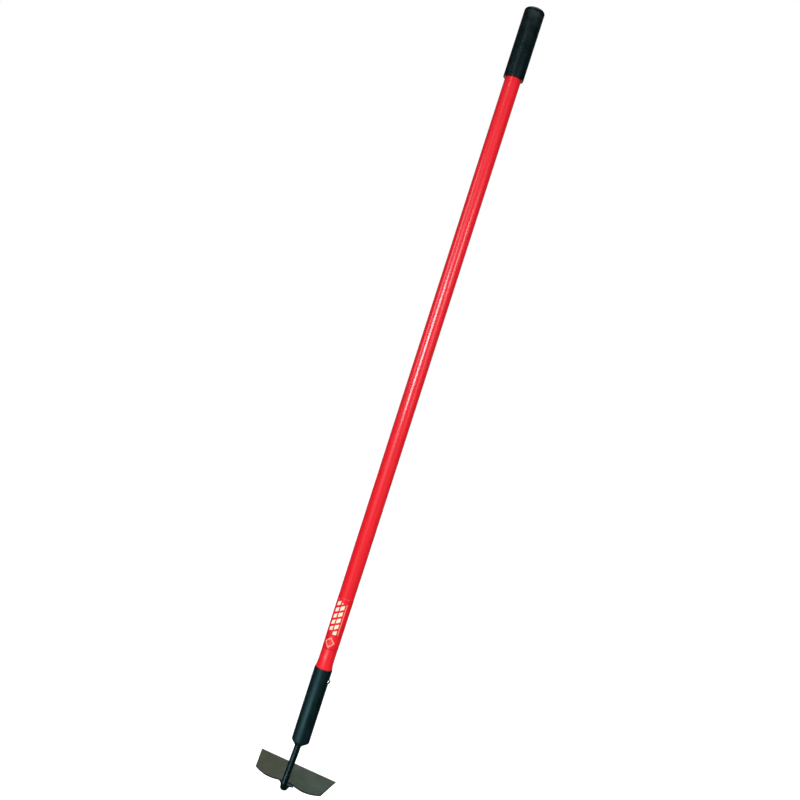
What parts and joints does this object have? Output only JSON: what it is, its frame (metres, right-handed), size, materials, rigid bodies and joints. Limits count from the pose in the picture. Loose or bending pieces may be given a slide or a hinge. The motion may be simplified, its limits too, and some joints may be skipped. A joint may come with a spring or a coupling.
{
  "type": "grub hoe",
  "caption": "Long-handled hoe: a shallow steel plate blade on a bent rod neck, welded into a riveted tube ferrule on a straight round shaft with a slip-on grip.",
  "frame": {"origin": "middle of the grip, on the handle's axis", "axes": "+Z along the handle towards the butt end, +Y towards the side that the blade reaches out to, X along the blade's width"},
  "size_m": [0.1644, 0.069, 1.5729],
  "materials": {
    "blade_steel": "dull, cold-rolled, lightly oiled",
    "black_enamel": "semi-gloss enamel",
    "rivet_steel": "bright zinc",
    "red_fibreglass": "glossy resin",
    "plug_wood": "bare hardwood",
    "label_film": "printed film",
    "grip_rubber": "smooth satin"
  },
  "bodies": {
    "root": {"blade": "blade_steel", "neck_rod": "black_enamel", "blade_weld": "black_enamel", "ferrule": "black_enamel", "ferrule_weld": "black_enamel", "rivet": "rivet_steel", "shaft": "red_fibreglass", "core_plug": "plug_wood", "label": "label_film", "grip": "grip_rubber"}
  },
  "joints": []
}
